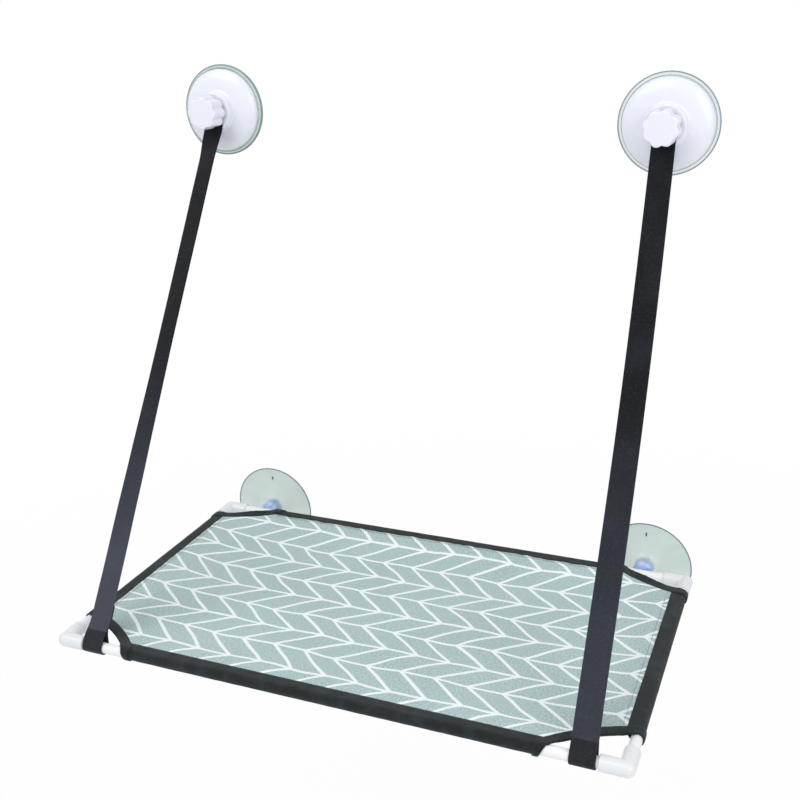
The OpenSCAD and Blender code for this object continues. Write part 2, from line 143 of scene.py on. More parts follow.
class Value:
    """A node's output, used in sums as if it were a number."""

    def __init__(self, shading, socket):
        self.shading = shading
        self.socket = socket

    def math(self, operation, *numbers):
        return self.shading.node("ShaderNodeMath", {"operation": operation},
                                 dict(enumerate(numbers)))

    def __rsub__(self, other):
        return self.math("SUBTRACT", other, self)

    __add__ = __radd__ = maths("ADD")
    __sub__ = maths("SUBTRACT")
    __mul__ = __rmul__ = maths("MULTIPLY")
    __truediv__ = maths("DIVIDE")
    __pow__ = maths("POWER")
    floor = maths("FLOOR")
    part = maths("FRACT")
    size = maths("ABSOLUTE")
    sine = maths("SINE")
    root = maths("SQRT")
    at_most = maths("MINIMUM")
    at_least = maths("MAXIMUM")
    odd = maths("FLOORED_MODULO", 2)

    def below(self, edge, softness):
        """1 where the value is well under edge, 0 well over it."""
        return self.shading.node(
            "ShaderNodeMapRange", {"interpolation_type": "SMOOTHSTEP"},
            {"Value": self, "From Min": edge - softness, "From Max": edge + softness,
             "To Min": 1.0, "To Max": 0.0})


class Shading:
    """A tree of nodes, each made by node()."""

    def __init__(self, tree):
        self.tree = tree

    def node(self, kind, settings=None, sockets=None, out=0):
        made = self.tree.nodes.new(kind)
        for name, value in (settings or {}).items():
            setattr(made, name, value)
        for name, value in (sockets or {}).items():
            self.plug(made.inputs[name], value)
        return Value(self, made.outputs[out])

    def plug(self, socket, value):
        if isinstance(value, Value):
            self.tree.links.new(value.socket, socket)
        else:
            socket.default_value = value

    def blend(self, share, low, high):
        """A shader between two others."""
        return self.node("ShaderNodeMixShader", {}, {0: share, 1: low, 2: high})


class Finish(Shading):
    """One material, whose sockets are set as it is made and through varies()."""

    def __init__(self, name, **constants):
        self.material = bpy.data.materials.new(name)
        self.material.use_nodes = True
        super().__init__(self.material.node_tree)
        self.shader = self.tree.nodes["Principled BSDF"]
        self.varies(**constants)

    def varies(self, **sockets):
        """Sets the shader's sockets, such as Base Color by the name base_color, and gives the
        material."""
        for label, value in sockets.items():
            label = label.replace("_", " ").title().replace("Ior", "IOR")
            self.plug(self.shader.inputs[label], value)
        return self.material

    def place(self):
        """Where a point lies on its piece, in the frame's own metres."""
        return self.node("ShaderNodeTexCoord", out="Object")

    def cloth_place(self):
        """Where a point lies on its cloth, in metres across and along."""
        return self.node("ShaderNodeUVMap", {"uv_map": "cloth"})

    def vector(self, operation, one, other):
        return self.node("ShaderNodeVectorMath", {"operation": operation}, {0: one, 1: other})

    def split(self, vector):
        made = self.node("ShaderNodeSeparateXYZ", sockets={0: vector}).socket.node
        return [Value(self, socket) for socket in made.outputs]

    def cloud(self, scale, detail=2.0, roughness=0.5, at=None):
        """Soft noise over the piece, or over another place."""
        return self.node("ShaderNodeTexNoise", {},
                         {"Vector": at or self.place(), "Scale": scale, "Detail": detail,
                          "Roughness": roughness})

    def mix(self, low, high, share):
        return self.node("ShaderNodeMix", {"data_type": "RGBA"}, {0: share, 6: low, 7: high},
                         out=2)

    def bump(self, height, distance, strength):
        return self.node("ShaderNodeBump", {}, {"Height": height, "Distance": distance,
                                                "Strength": strength})


def thread_heights(u, v, pitch):
    """Plain weave: threads over and under each other, pitch metres apart."""
    turn = pi / pitch
    across, along = (u * turn).sine().size(), (v * turn).sine().size()
    over = ((u / pitch).floor() + (v / pitch).floor()).odd()
    return across * over + along * (1 - over)


# Finishes

def white_plastic(name, clean, soiled):
    """Gloss white moulded plastic with a faint flow texture and handling marks."""
    finish = Finish(name, coat_roughness=0.12, ior=1.47)
    flow = finish.cloud(scale=38, detail=4)
    marks = finish.cloud(scale=160, detail=6, roughness=0.7)
    smudge = (0.38 - marks).at_least(0) * 2.2
    return finish.varies(
        base_color=finish.mix(clean, soiled, smudge),
        roughness=0.2 + flow * 0.12 + smudge * 0.3,
        coat_weight=0.35 - smudge * 0.3,
        normal=finish.bump(flow, distance=0.6 * MM, strength=0.25))


def white_tube():
    """White lacquer on steel tube, with fine scuffs along it."""
    finish = Finish("white lacquered tube", ior=1.5)
    peel = finish.cloud(scale=420)
    scuffs = finish.cloud(scale=90, detail=5, roughness=0.75)
    worn = (0.36 - scuffs).at_least(0) * 3
    return finish.varies(
        base_color=finish.mix(paint(238, 241, 242), paint(186, 190, 190), worn),
        roughness=0.3 + worn * 0.5,
        normal=finish.bump(peel, distance=0.2 * MM, strength=0.4))


# The herringbone print: pitch and start of its rows and columns, how far a stroke moves across
# on its way from row to row, and half the width of its lines
ROW_PITCH = 34.6 * MM
ROW_START = -4.1 * MM
COLUMN_PITCH = 35.2 * MM
COLUMN_START = -11.5 * MM
STROKE_SHIFT = 40.7 * MM
LINE_HALF = 1.75 * MM


def herringbone(across, depth):
    """1 on the white lines of the print: rows, with strokes between them that lean right in one
    band and left, with a slight bend at their rear end, in the next."""
    rows = (depth - ROW_START) / ROW_PITCH
    down = rows.part()
    leans_left = rows.floor().odd()
    straight, bent, bend_power = 0.88, 0.12, 6
    left = straight * down + bent * (1 - (1 - down) ** bend_power)
    left_slope = straight + bent * bend_power * (1 - down) ** (bend_power - 1)
    share = (1 - left) * leans_left + down * (1 - leans_left)
    slope = (left_slope * leans_left + (1 - leans_left)) * (STROKE_SHIFT / ROW_PITCH)
    strokes = (across - COLUMN_START - share * STROKE_SHIFT) / COLUMN_PITCH
    off_stroke = ((strokes + 0.5).part() - 0.5).size() * COLUMN_PITCH
    off_stroke = off_stroke / (1 + slope * slope).root()
    off_row = ((rows + 0.5).part() - 0.5).size() * ROW_PITCH
    softness, row_share = 0.3 * MM, 0.92
    return off_stroke.below(LINE_HALF, softness).at_least(
        off_row.below(LINE_HALF * row_share, softness))


def printed_cloth():
    """Sage grey canvas with the white print, its weave, slubs and a soft sheen."""
    finish = Finish("printed canvas", sheen_weight=0.25, sheen_roughness=0.45,
                    specular_ior_level=0.25)
    place = finish.cloth_place()
    u, v, _ = finish.split(place)
    elsewhere = finish.vector("ADD", place, (3.1, 1.7, 0.4))
    wander = finish.cloud(scale=17, detail=1, at=place) - 0.5
    drift = finish.cloud(scale=17, detail=1, at=elsewhere) - 0.5
    lines = herringbone(u + wander * (6 * MM), v + drift * (12 * MM))
    weave = thread_heights(u, v, 0.9 * MM)
    drawn_in = finish.vector("MULTIPLY", place, (1.0, 1.4, 1.0))
    slubs = finish.cloud(scale=520, detail=3, roughness=0.75, at=drawn_in)
    washes = finish.cloud(scale=9, detail=3, at=place)
    grain = (slubs * 4.2 - 1.6).at_least(0).at_most(1)
    ground = finish.mix(paint(131, 159, 159), paint(212, 232, 231),
                        grain * 0.75 + washes * 0.25)
    ink = finish.mix(paint(240, 253, 253), paint(253, 255, 255), grain)
    return finish.varies(
        base_color=finish.mix(ground, ink, lines),
        roughness=0.86 - lines * 0.08,
        normal=finish.bump(weave + slubs * 0.6, distance=0.4 * MM, strength=0.5))


def black_cloth():
    """Black woven polyester with a fine weave, worn paler where it rubs."""
    finish = Finish("black binding cloth", sheen_weight=0.1, sheen_roughness=0.5,
                    specular_ior_level=0.25)
    u, v, _ = finish.split(finish.cloth_place())
    weave = thread_heights(u, v, 0.8 * MM)
    patches = finish.cloud(scale=60, detail=4, roughness=0.6)
    dust = finish.cloud(scale=900)
    worn = (patches - 0.45).at_least(0) * 1.6 + (dust - 0.6).at_least(0) * 1.2
    return finish.varies(
        base_color=finish.mix(paint(24, 30, 32), paint(60, 68, 73), worn),
        roughness=0.72 + weave * 0.16,
        normal=finish.bump(weave, distance=0.35 * MM, strength=0.6))


def webbing(name, foot_sheen):
    """Near-black webbing: ribs across it, a twill line along it and denser edges. Its colour is
    painted paler towards its foot as a painted sheen, but not where it loops round the tube, which
    is left darker."""
    finish = Finish(name, sheen_weight=0.04, sheen_roughness=0.4, specular_ior_level=0.17)
    u, v, _ = finish.split(finish.cloth_place())
    edge = 1 - (STRAP_W / 2 - u.size()).below(1.6 * MM, 0.3 * MM)
    ribs = (v * (pi / (1.3 * MM))).sine().size()
    twill = ((v + u * 0.8) * (pi / (1.1 * MM))).sine().size()
    dust = finish.cloud(scale=420, detail=3, roughness=0.65)
    streak = finish.cloud(scale=14)
    # Painted sheen: the run is painted paler towards its foot by the strap's sheen strength. The
    # loop round the tube gets only a fifth of it, so it shows darker. pale adds dust and random
    # streaks to that painted sheen.
    loop = 1 - v.below(0, 1 * MM)
    foot_reach = 170 * MM
    foot = ((1 - v.below(-foot_reach, foot_reach)) * (1 - loop) + loop * 0.2) * foot_sheen
    pale = (dust - 0.5).at_least(0) * 0.7 + (streak - 0.5).at_least(0) * 0.5 + foot
    return finish.varies(
        base_color=finish.mix(paint(14, 15, 18), paint(78, 82, 95), pale),
        roughness=0.62 + ribs * 0.2 - loop * 0.22,
        normal=finish.bump(ribs * edge + twill * 0.5, distance=0.35 * MM, strength=0.6))


def clear_rubber(name, centre, outer_r, tints, clearness, lines, lip_r=0):
    """Clear soft plastic with a dark, more opaque outline at its outer radius, which is painted
    shade, and a hub tinted blue, which is painted refracted light with a painted highlight. tints
    are the colours of the plastic, of the outline and of the hub. lines are further rings, each
    with its radius, its half width and how dark it is, where less than 0 is a pale one: the dark
    rings are painted shade and the pale ones a painted highlight. Inside lip_r the plastic is
    thinner, so paler."""
    plain, outline, hub = tints
    finish = Finish(name, roughness=0.08, ior=1.46, coat_weight=0.4, coat_roughness=0.04)
    x, _, z = finish.split(finish.vector("SUBTRACT", finish.place(), centre))
    _, y, _ = finish.split(finish.place())
    radius = (x * x + z * z).root()
    # Painted shade: a darker, more opaque outline at the outer radius, standing in for how the
    # clear edge darkens when seen edge-on.
    dark = 1 - radius.below(outer_r - 1.3 * MM, 0.5 * MM)
    pale = 0
    # Dark rings are painted shade, pale rings a painted highlight.
    for ring_r, half, strength in lines:
        ring = (radius - ring_r).size().below(half, half * 0.6)
        if strength > 0:
            dark = dark.at_least(ring * strength)
        else:
            pale = ring * -strength
    # The hub's blue tint, which is also more opaque, is painted refracted light.
    at_hub = radius.below(11 * MM, 1.3 * MM) * (0 - y).below(24 * MM, 2 * MM)
    thin = radius.below(lip_r - 0.6 * MM, 0.5 * MM) if lip_r else 0
    thin_clearness = 0.24
    ripple = finish.cloud(scale=55)
    streaks = finish.cloud(scale=24, detail=1)
    colour = finish.mix(plain, paint(244, 250, 248), streaks * 0.3 + pale)
    if lip_r:
        colour = finish.mix(colour, paint(216, 228, 226), thin)
    # Painted highlight: pale blotches over the hub.
    glow = finish.cloud(scale=90, detail=1) - 0.35
    glow = (glow * 2).at_least(0).at_most(0.6)
    colour = finish.mix(finish.mix(colour, outline, dark),
                        finish.mix(hub, paint(206, 222, 252), glow), at_hub)
    solid = clearness - thin * (clearness - thin_clearness)
    return finish.varies(
        base_color=colour,
        alpha=(solid + dark * 0.45 + at_hub * 0.5).at_most(0.96),
        normal=finish.bump(ripple, distance=0.8 * MM, strength=0.12))


def metal(name, tone, roughness):
    """Machined metal with fine turning lines across its length."""
    finish = Finish(name, metallic=1.0)
    _, y, _ = finish.split(finish.place())
    lines = (y * (pi / (1.25 * MM))).sine().size()
    stain = finish.cloud(scale=300, detail=4)
    return finish.varies(
        base_color=finish.mix(tone, paint(120, 115, 105), stain * 0.25),
        roughness=roughness + stain * 0.15,
        normal=finish.bump(lines, distance=0.4 * MM, strength=0.6))


def thread(name, tone):
    """Twisted sewing thread."""
    finish = Finish(name, sheen_weight=0.3)
    fuzz = finish.cloud(scale=2500)
    return finish.varies(
        base_color=finish.mix(tone, paint(150, 155, 155), fuzz * 0.25),
        roughness=0.7 + fuzz * 0.2)


def cup_mark():
    """Darker plastic of the raised mark on a lower cup."""
    finish = Finish("cup mark", roughness=0.3)
    tone = finish.cloud(scale=500)
    return finish.varies(base_color=finish.mix(paint(72, 92, 120), paint(98, 116, 140), tone))


# Mesh tools

def add_mesh(name, points, faces, material, uvs=None):
    """A smooth mesh piece. uvs gives each point its place on the cloth, in metres."""
    mesh = bpy.data.meshes.new(name)
    mesh.from_pydata([tuple(p) for p in points], [], faces)
    mesh.materials.append(material)
    mesh.shade_smooth()
    if uvs is not None:
        layer = mesh.uv_layers.new(name="cloth")
        for loop in mesh.loops:
            layer.data[loop.index].uv = uvs[loop.vertex_index]
    piece = bpy.data.objects.new(name, mesh)
    bpy.context.scene.collection.objects.link(piece)
    return piece


def strip_faces(rings, around, closed_around=True, closed_along=False):
    """Faces between neighbouring rings of points, which all have as many points."""
    faces = []
    last = rings if closed_along else rings - 1
    steps = around if closed_around else around - 1
    for i in range(last):
        for j in range(steps):
            k = (j + 1) % around
            n = (i + 1) % rings
            faces.append((i * around + j, i * around + k, n * around + k, n * around + j))
    return faces


def double_sheet(rings, around):
    """Faces of a sheet with two sides and a rim, whose lower points follow its upper ones."""
    upper = strip_faces(rings, around, closed_around=False)
    below = rings * around
    faces = upper + [tuple(below + v for v in f[::-1]) for f in upper]
    rim = list(range(around)) + [i * around + around - 1 for i in range(1, rings)]
    rim += [(rings - 1) * around + j for j in range(around - 2, -1, -1)]
    rim += [i * around for i in range(rings - 2, 0, -1)]
    for a, b in zip(rim, rim[1:] + rim[:1]):
        faces.append((b, a, below + a, below + b))
    return faces


def end_caps(rings, around):
    """Faces that close the first and the last ring."""
    start = tuple(range(around))[::-1]
    first = (rings - 1) * around
    return [start, tuple(range(first, first + around))]


def turned_piece(name, profile, centre, material, steps):
    """Turns a profile of (radius, distance from the pane) round an axis that stands square to
    the pane. The profile starts and ends on the axis, or comes back to its start."""
    points = []
    on_axis = profile[0][0] == 0
    body = profile[1:-1] if on_axis else profile
    for radius, out in body:
        for i in range(steps):
            a = 2 * pi * i / steps
            points.append((centre.x + radius * cos(a), -out,
                           centre.z + radius * sin(a)))
    faces = strip_faces(len(body), steps, closed_along=not on_axis)
    if on_axis:
        for ring, (_, out) in ((0, profile[0]), (len(body) - 1, profile[-1])):
            hub = len(points)
            points.append((centre.x, -out, centre.z))
            for i in range(steps):
                pair = (ring * steps + i, ring * steps + (i + 1) % steps)
                faces.append((hub, *pair[::-1]) if ring == 0 else (hub, *pair))
    return add_mesh(name, points, faces, material)


def arc(centre, radius, start, end, steps):
    """Points (across, out) on an arc between two angles in degrees."""
    angles = [radians(start + (end - start) * i / steps) for i in range(steps + 1)]
    return [(centre[0] + radius * cos(a), centre[1] + radius * sin(a))
            for a in angles]


def fitted(piece, body, node=None):
    """Makes a piece ride on its body and, if it has one, stand for its CAD node."""
    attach(piece, body)
    if node:
        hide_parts(node)
    return piece


WHITE = white_plastic("white moulded plastic", paint(232, 234, 244), paint(202, 204, 212))
ELBOW_WHITE = white_plastic("white elbow plastic", paint(226, 229, 231), paint(194, 197, 199))
TUBE = white_tube()
PRINT = printed_cloth()
BLACK = black_cloth()
# The number for each strap is how strong its painted sheen is: more on the left strap than on the
# right.
WEBBING = {"left": webbing("black webbing left", 0.72),
           "right": webbing("black webbing right", 0.44)}
STEEL = metal("zinc plated steel", paint(190, 192, 196), 0.25)
BRASS = metal("brass insert", paint(214, 182, 112), 0.3)
DARK_THREAD = thread("dark thread", paint(70, 78, 80))
BLACK_THREAD = thread("black thread", paint(30, 33, 36))
CUP_MARK = cup_mark()


# The cloth of the bed

def rough(x, y, z=0.0):
    """Smooth waviness between -1 and 1 that repeats the same way every time."""
    return noise.noise(Vector((x, y, z)))


def sag_start(x, cut):
    """How far from a cross tube the cloth starts to sag at x, beside that end's corner cuts."""
    reach_w = (cut.wide + BINDING_W + BINDING_LEAD) * SAG_CORNER
    reach_d = (cut.deep + BINDING_W) * SAG_CORNER
    inward = (reach_w - (SIDE_X - abs(x))) / (reach_w - SAG_IN)
    return SAG_IN + (reach_d - SAG_IN) * clamp(inward)


def sag(x, depth):
    """How far the panel hangs below its edges: most behind the middle, none at its seams."""
    rear = sag_start(x, REAR_CUT)
    front = FRAME_D - sag_start(x, FRONT_CUT)
    side_power, rear_share, rear_power, front_power = 5, 0.09, 1.5, 2.4
    t = clamp((depth - rear) / (front - rear))
    s = min(abs(x) / (SIDE_X - SAG_IN), 1.0)
    return (SAG * (1 - s ** side_power) * (1 - exp(-(t / rear_share) ** rear_power))
            * (1 - t ** front_power))


def grown(cut, grow):
    """The two reaches of a curve that lies grow further in than a corner cut."""
    return cut.wide + grow + BINDING_LEAD * grow / BINDING_W, cut.deep + grow


def cut_curve(cut, grow, share):
    """A point on a corner cut, as distances from the corner of the tube axes. share runs from 0
    at the cross tube to 1 at the side tube."""
    along, down = grown(cut, grow)
    a = share * pi / 2
    return (along * cos(a) ** (2 / cut.roundness), down * sin(a) ** (2 / cut.roundness))


def cut_depth(cut, grow, across):
    """How far a corner cut reaches along the side tube at a distance across from that tube."""
    along, down = grown(cut, grow)
    if across >= along:
        return 0.0
    return down * (1 - (across / along) ** cut.roundness) ** (1 / cut.roundness)


# How far the panel's edge lies under the bindings
TUCK = 3 * MM


def fading(inward, reach):
    """1 at a seam, and less and less inward of it."""
    return exp(-max(inward, 0) / reach)


def panel_height(x, depth):
    """The height of the panel's top, with its sag, seam puckers and pulls at the corners."""
    from_side = SIDE_X - SEAM_IN - abs(x)
    from_rear = depth - SEAM_IN
    from_front = FRAME_D - SEAM_IN - depth
    rear_pucker = 0.9 * MM * fading(from_rear, 14 * MM) * rough(x / (9 * MM), 2.3)
    front_pucker = 0.5 * MM * fading(from_front, 12 * MM) * rough(x / (11 * MM), 7.9)
    side_pucker = 0.5 * MM * fading(from_side, 12 * MM) * rough(depth / (10 * MM), 4.1, x)
    soft = 0.5 * MM * rough(x / (70 * MM), depth / (55 * MM), 1.5)
    return (PANEL_TOP - sag(x, depth) + rear_pucker + front_pucker + side_pucker
            + soft * min(from_side / (60 * MM), 1))


def make_panel():
    """The printed panel: a sagging sheet whose edges lie under the sleeves and bindings."""
    half = SIDE_X - SEAM_IN
    columns, rows = 151, 85
    grid, uvs = [], []
    for i in range(columns):
        x = -half + 2 * half * i / (columns - 1)
        across = SIDE_X - abs(x)
        rear = max(SEAM_IN, cut_depth(REAR_CUT, TUCK, across))
        front = FRAME_D - max(SEAM_IN, cut_depth(FRONT_CUT, TUCK, across))
        for j in range(rows):
            depth = rear + (front - rear) * j / (rows - 1)
            grid.append(Vector((x, REAR_Y - depth, panel_height(x, depth))))
            uvs.append((x, depth))
    points = grid + [p - PANEL_T * UP for p in grid]
    piece = add_mesh("printed_panel", points, double_sheet(columns, rows), PRINT, uvs + uvs)
    return fitted(piece, "bed", "panel")


# The outer face of the sleeves round their tubes, and the thickness of their cloth
SLEEVE_R = TUBE_R + 0.45 * MM
SLEEVE_T = 0.4 * MM
# How much less far the cloth's ends reach under the front tube than over it
CUFF_SLANT = 9 * MM


def teardrop(seam_top, seam_low):
    """A sleeve's outline round its tube, as (inward, height), from the seam over the tube and
    back under it, with each point's distance along the cloth."""
    def tangent_angle(point, upper):
        toward = degrees(atan2(point[1], point[0]))
        spread = degrees(acos(SLEEVE_R / hypot(*point)))
        return toward + spread if upper else toward - spread
    top = (SEAM_IN, seam_top)
    low = (SEAM_IN, seam_low)
    start = tangent_angle(top, True)
    end = tangent_angle(low, False) + 360
    flat_steps, round_steps = 5, 30
    round_part = arc((0, 0), SLEEVE_R, start, end, round_steps)
    upper = [between(top, round_part[0], i / flat_steps) for i in range(flat_steps)]
    lower = [between(round_part[-1], low, i / flat_steps) for i in range(1, flat_steps + 1)]
    return upper + round_part + lower


def make_sleeve(word, start, end, slant, to_world):
    """A cloth sleeve round a tube, with its cloth thickness, soft folds and slanted ends, which
    reach least far under the tube. to_world puts (along, inward, height) in the frame."""
    lift, spacing, edge = 0.1 * MM, 4 * MM, 4
    outline = teardrop(PANEL_TOP + lift, PANEL_LOW - lift)
    stations = int((end - start) / spacing)
    around = len(outline)
    outer, inner, uvs = [], [], []
    for i in range(stations + 1):
        measured = 0.0
        for j, (q, h) in enumerate(outline):
            back = slant * (SLEEVE_R - h) / (2 * SLEEVE_R)
            along = start + back + (end - start - 2 * back) * i / stations
            if j:
                measured += hypot(q - outline[j - 1][0], h - outline[j - 1][1])
            before = outline[max(j - 1, 0)]
            after = outline[min(j + 1, around - 1)]
            normal = -Vector((0, before[1] - after[1], after[0] - before[0])).normalized()
            fold = rough(along / (26 * MM), j / 7, q * 20) * 0.3 * MM
            fold += rough(along / (8 * MM), j / 5, 9.1) * 0.12 * MM
            free = min(1.0, j / edge, (around - 1 - j) / edge)
            spot = Vector((along, q, h))
            outer.append(to_world(spot + normal * abs(fold) * free))
            thin = SLEEVE_T if edge <= j < around - edge else SLEEVE_T / 2
            inner.append(to_world(spot - normal * thin))
            uvs.append((along, measured))
    faces = double_sheet(stations + 1, around)
    piece = add_mesh(f"sleeve_cloth_{word}", outer + inner, faces, BLACK, uvs + uvs)
    return fitted(piece, "bed", f"sleeve_{word}")


def make_sleeves():
    """A sleeve round each tube."""
    hidden = 3 * MM
    rear_end = SIDE_X - REAR_CUT.wide - hidden
    front_end = SIDE_X - FRONT_CUT.wide - hidden
    low, high = FRONT_Y + FRONT_CUT.deep + hidden, REAR_Y - REAR_CUT.deep - hidden
    ways = {
        "rear": (-rear_end, rear_end, 0, lambda p: Vector((p.x, REAR_Y - p.y, p.z))),
        "front": (-front_end, front_end, CUFF_SLANT, lambda p: Vector((p.x, FRONT_Y + p.y, p.z))),
        "left": (low, high, 0, lambda p: Vector((-SIDE_X + p.y, p.x, p.z))),
        "right": (low, high, 0, lambda p: Vector((SIDE_X - p.y, p.x, p.z)))}
    return [make_sleeve(word, *way) for word, way in ways.items()]


# The middle of the cuffs that the bindings end in round the tubes, and half their thickness
CUFF_R = TUBE_R + 0.95 * MM
CUFF_HALF_T = 0.7 * MM
# How far the free edge of a rear binding curls up
REAR_CURL = 3.6 * MM


def wrapped(distance, height):
    """Takes a distance inward from a tube's axis, and a height over the cloth's middle, to
    (inward, height) on the cloth that lies flat inside the tube and wraps round it outside."""
    flat = (PANEL_TOP + PANEL_LOW) / 2
    rise_over = 13 * MM
    if distance >= 0:
        fallen = ease(min(distance / rise_over, 1.0))
        return distance, CUFF_R + (flat - CUFF_R) * fallen + height
    angle = -distance / CUFF_R
    radius = CUFF_R + height
    return -radius * sin(angle), radius * cos(angle)


def binding_route(cut, slant):
    """Stations along a binding: pairs of points on its free edge and its inner edge, from under
    the cross tube, along the cut and to under the side tube."""
    wrap_share, wrap_steps, steps = 0.97, 16, 44
    cross_step, side_step = 1.5 * MM, 1.0 * MM
    wrap = pi * CUFF_R * wrap_share
    pairs = []
    for i in range(wrap_steps, 0, -1):
        reach = -wrap * i / wrap_steps
        free = cut.wide + cross_step + slant * i / wrap_steps
        pairs.append(((free, reach), (cut.wide + BINDING_W + BINDING_LEAD, reach)))
    for i in range(steps + 1):
        pairs.append((cut_curve(cut, 0, i / steps), cut_curve(cut, BINDING_W, i / steps)))
    for i in range(1, wrap_steps + 1):
        reach = -wrap * i / wrap_steps
        pairs.append(((reach, cut.deep + side_step), (reach, cut.deep + BINDING_W)))
    return pairs


def make_binding(end, cut, side, word):
    """Black tape folded over the cloth's cut edge, which ends as a cuff round each tube."""
    front = end == "front"
    pairs = binding_route(cut, CUFF_SLANT if front else 0)
    # The tape's section as (share of its width, level): over, round the free edge and back under
    flat_steps, round_steps, fold_share = 8, 4, 0.06
    over = [(1 - k / flat_steps * (1 - fold_share), 1.0) for k in range(flat_steps + 1)]
    turns = [pi * k / round_steps for k in range(1, round_steps)]
    under = [(share, -1.0) for share, _ in over[::-1]]
    ring = over + [(fold_share - fold_share * sin(a), cos(a)) for a in turns] + under
    points, uvs = [], []
    measured = 0.0
    for i, (free, inner) in enumerate(pairs):
        if i:
            measured += dist(inner, pairs[i - 1][1])
        for share, level in ring:
            cx, cy = between(free, inner, share)
            crown = 1 + 0.15 * sin(pi * share)
            pucker = rough(i / 2.1, share * 2 + side * 5, 3.0 + front) * 0.28 * MM
            flatness = clamp(min(cx, cy) / (10 * MM))
            height = level * (CUFF_HALF_T + 0.5 * MM * flatness) * crown + pucker
            if not front:
                off_tubes = clamp((min(free) - 2 * MM) / (14 * MM))
                toward_tube = clamp((free[0] / cut.wide - 0.25) / 0.5)
                height += REAR_CURL * off_tubes * toward_tube * (1 - share) ** 1.5
            if level > 0:
                height += abs(rough(i / 1.3, share * 3, 8.0)) * 0.2 * MM
            if cx < cy:
                cx, top = wrapped(cx, height)
            else:
                cy, top = wrapped(cy, height)
            x = side * (SIDE_X - cx)
            y = FRONT_Y + cy if front else REAR_Y - cy
            points.append(Vector((x, y, top)))
            uvs.append((share * BINDING_W * (1 if level > 0 else -1), measured))
    rings, around = len(pairs), len(ring)
    faces = strip_faces(rings, around) + end_caps(rings, around)
    if (side > 0) == front:
        faces = [f[::-1] for f in faces]
    piece = add_mesh(f"binding_tape_{end}_{word}", points, faces, BLACK, uvs)
    return fitted(piece, "bed", f"binding_{end}_{word}")


def make_bindings():
    """A binding along each corner cut."""
    return [make_binding(end, cut, side, word) for side, word in SIDES for end, cut in CUTS]


def stitch_row(name, route, material):
    """Sewn stitches along a route of points: short thread humps on the cloth."""
    length, gap, half, around = 2.6 * MM, 0.9 * MM, 0.22 * MM, 6
    hump = ((0.0, 0.35), (0.2, 0.9), (0.5, 1.0), (0.8, 0.9), (1.0, 0.35))
    points, faces = [], []
    walked, need = 0.0, 0.0
    for a, b in zip(route, route[1:]):
        step = (b - a).length
        while need < walked + step:
            start = a.lerp(b, (need - walked) / step)
            along = (b - a).normalized()
            across = along.cross(UP).normalized()
            first = len(points)
            for t, size in hump:
                hub = start + along * length * t + UP * half * (size - 0.4)
                for k in range(around):
                    turn = pi * 2 * k / around
                    points.append(hub + (across * cos(turn) + UP * sin(turn)) * half * size)
            faces += [tuple(first + v for v in f) for f in
                      strip_faces(len(hump), around) + end_caps(len(hump), around)]
            need += length + gap
        walked += step
    return fitted(add_mesh(name, points, faces, material), "bed")


def panel_point(x, depth):
    """A point just over the panel."""
    lift = 0.1 * MM
    return Vector((x, REAR_Y - depth, panel_height(x, depth) + lift))


def make_topstitching():
    """The line of stitches that shows on the panel beside the rear and side seams."""
    inset, steps = SEAM_IN + 4 * MM, 90
    reach = SIDE_X - REAR_CUT.wide - BINDING_W
    start, end = REAR_CUT.deep + BINDING_W, FRAME_D - FRONT_CUT.deep - BINDING_W
    shares = [i / steps for i in range(steps + 1)]
    rows = [("rear", [panel_point(-reach + 2 * reach * t, inset) for t in shares])]
    for side, word in SIDES:
        x = side * (SIDE_X - inset)
        rows.append((word, [panel_point(x, start + (end - start) * t) for t in shares]))
    return [stitch_row(f"topstitch_{word}", spots, DARK_THREAD)
            for word, spots in rows]


def make_binding_stitches():
    """The seam that holds each binding's tape down, near its inner edge."""
    made = []
    lift_share, inset_share, steps, clear_of_tube = 1.05, 0.8, 60, 13 * MM
    lift = (PANEL_TOP + PANEL_LOW) / 2 + CUFF_HALF_T * lift_share
    for side, word in SIDES:
        for end, cut in CUTS:
            route = []
            for i in range(steps + 1):
                cx, cy = cut_curve(cut, BINDING_W * inset_share, 0.1 + 0.8 * i / steps)
                if min(cx, cy) < clear_of_tube:
                    continue
                y = REAR_Y - cy if end == "rear" else FRONT_Y + cy
                route.append(Vector((side * (SIDE_X - cx), y, lift)))
            made.append(stitch_row(f"binding_seam_{end}_{word}", route,
                                   BLACK_THREAD))
    return made


panel = make_panel()
cloth_edges = make_sleeves() + make_bindings() + make_topstitching() + make_binding_stitches()


# The straps

# From the front tube's axis to where the loop is sewn, and the sewn tail beyond it
LOOP_REACH = 17 * MM
TAIL_L = 25 * MM
LOOP_R = TUBE_R + 1.0 * MM
# From a side tube's axis to the middle of a strap's foot
STRAP_IN = 39.5 * MM
# How far the flat tab reaches above and below the stud
TAB_ABOVE = 11 * MM
TAB_BELOW = 18 * MM


def sewn_dip(s):
    """How far the stitches pull the strap down at a distance from the front tube."""
    deepest, reach = LOOP_REACH + 4 * MM, 9 * MM
    return 1.1 * MM * exp(-((s - deepest) / reach) ** 2)


